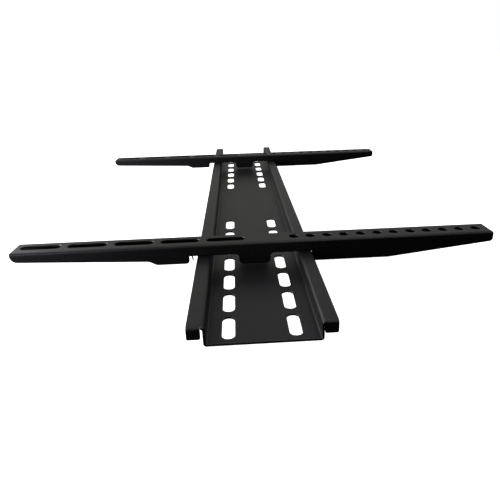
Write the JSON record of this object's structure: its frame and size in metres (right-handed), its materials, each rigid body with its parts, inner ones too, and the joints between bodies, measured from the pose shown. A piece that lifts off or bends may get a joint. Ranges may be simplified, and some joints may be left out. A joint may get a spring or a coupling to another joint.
{
  "type": "tv wall mount",
  "caption": "Low-profile fixed wall mount for a flat screen: a folded steel wall plate with two rails, and channel arms that hook over the rails and slide along them.",
  "frame": {"origin": "middle of the wall plate's back face, on the wall, midway between the rails' outer edges", "axes": "+Z out of the wall, +X up the wall, +Y along the wall plate, so the mount lies on its back"},
  "size_m": [0.419, 0.65, 0.0246],
  "materials": {
    "powder_coat": "satin black powder coat",
    "spring_steel": "blackened spring steel"
  },
  "bodies": {
    "plate": {"wall_plate": "powder_coat"},
    "right_arm": {"right_arm": "powder_coat", "right_lock_spring": "spring_steel"},
    "left_arm": {"left_arm": "powder_coat", "left_lock_spring": "spring_steel"}
  },
  "joints": [
    {"name": "right_arm_slide", "type": "slide", "parent": "plate", "child": "right_arm", "axis": [0, 1, 0], "range_m": [-0.1177, 0.1811]},
    {"name": "left_arm_slide", "type": "slide", "parent": "plate", "child": "left_arm", "axis": [0, 1, 0], "range_m": [-0.1901, 0.1087]}
  ]
}
